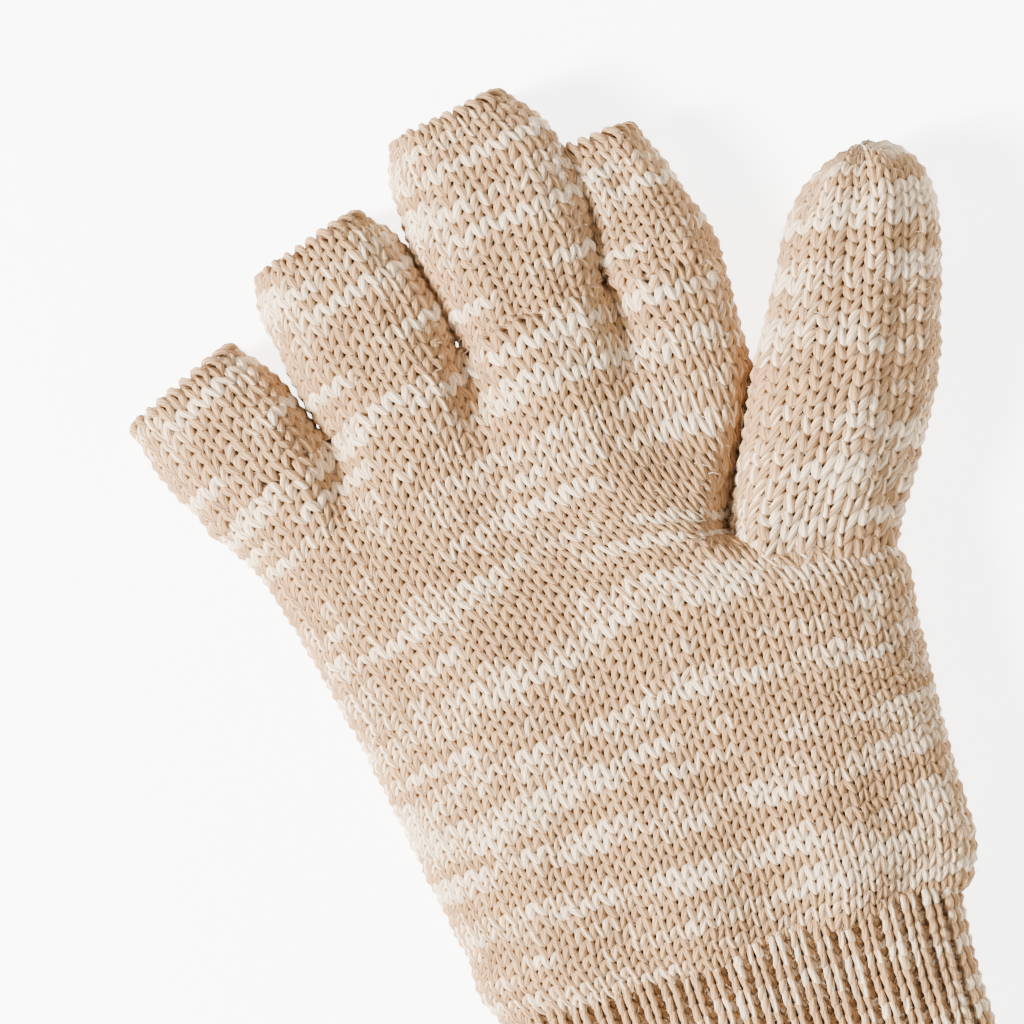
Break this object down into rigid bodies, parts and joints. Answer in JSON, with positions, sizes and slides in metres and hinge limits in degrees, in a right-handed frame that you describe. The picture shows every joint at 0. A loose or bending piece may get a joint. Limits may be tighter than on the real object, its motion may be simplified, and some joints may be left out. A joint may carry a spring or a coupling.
{
  "type": "fingerless glove",
  "caption": "Half-finger knitted glove for one hand: ribbed cuff, plain-knit palm, open finger stubs with rolled edges and a closed thumb; fingers, thumb and cuff bend.",
  "frame": {"origin": "under the middle of the palm, on the flat back of the hand that the glove rests on", "axes": "+Y from the cuff to the fingers, +X to the thumb, +Z out of the palm"},
  "size_m": [0.1225, 0.1943, 0.0179],
  "materials": {
    "marl_knit": "plain-knit two-ply marl yarn, tan with cream flecks in bands, slightly fuzzy",
    "bound_edge": "bound-off and closing stitches in the same yarn",
    "rib_knit": "one-by-one rib in the same yarn",
    "elastic_thread": "covered elastic thread",
    "label_satin": "blank woven satin"
  },
  "bodies": {
    "hand": {"hand_tube": "marl_knit", "little_ring_fork": "bound_edge", "ring_middle_fork": "bound_edge", "middle_index_fork": "bound_edge", "thumb_fork": "bound_edge"},
    "cuff": {"cuff_rib": "rib_knit", "cuff_edge": "bound_edge", "cuff_elastic_1": "elastic_thread", "cuff_elastic_2": "elastic_thread", "cuff_elastic_3": "elastic_thread", "care_label": "label_satin", "wrist_courses": "marl_knit"},
    "little": {"little_root": "marl_knit", "little_stub": "marl_knit", "little_rim": "bound_edge"},
    "ring": {"ring_root": "marl_knit", "ring_stub": "marl_knit", "ring_rim": "bound_edge"},
    "middle": {"middle_root": "marl_knit", "middle_stub": "marl_knit", "middle_rim": "bound_edge"},
    "index": {"index_root": "marl_knit", "index_stub": "marl_knit", "index_rim": "bound_edge"},
    "thumb": {"thumb_root": "marl_knit", "thumb_tube": "marl_knit", "thumb_tip": "marl_knit"}
  },
  "joints": [
    {"name": "little_flex", "type": "hinge", "parent": "hand", "child": "little", "pos_m": [-0.03948, 0.0538, 0.0075], "axis": [0.8988, 0.4384, 0], "range_deg": [0, 60], "deforming": ["little_root"]},
    {"name": "ring_flex", "type": "hinge", "parent": "hand", "child": "ring", "pos_m": [-0.01861, 0.06131, 0.0075], "axis": [0.9703, 0.2419, 0], "range_deg": [0, 60], "deforming": ["ring_root"]},
    {"name": "middle_flex", "type": "hinge", "parent": "hand", "child": "middle", "pos_m": [0.00422, 0.06545, 0.0075], "axis": [0.9934, 0.1149, 0], "range_deg": [0, 60], "deforming": ["middle_root"]},
    {"name": "index_flex", "type": "hinge", "parent": "hand", "child": "index", "pos_m": [0.02441, 0.06754, 0.0075], "axis": [0.9962, 0.0872, 0], "range_deg": [0, 60], "deforming": ["index_root"]},
    {"name": "thumb_flex", "type": "hinge", "parent": "hand", "child": "thumb", "pos_m": [0.03355, 0.0159, 0.00825], "axis": [0.9135, -0.4067, 0], "range_deg": [0, 50], "deforming": ["thumb_root"]},
    {"name": "wrist_bend", "type": "hinge", "parent": "hand", "child": "cuff", "pos_m": [0.0052, -0.031, 0.0075], "axis": [-1, 0, 0], "range_deg": [0, 50], "deforming": ["wrist_courses"]}
  ]
}
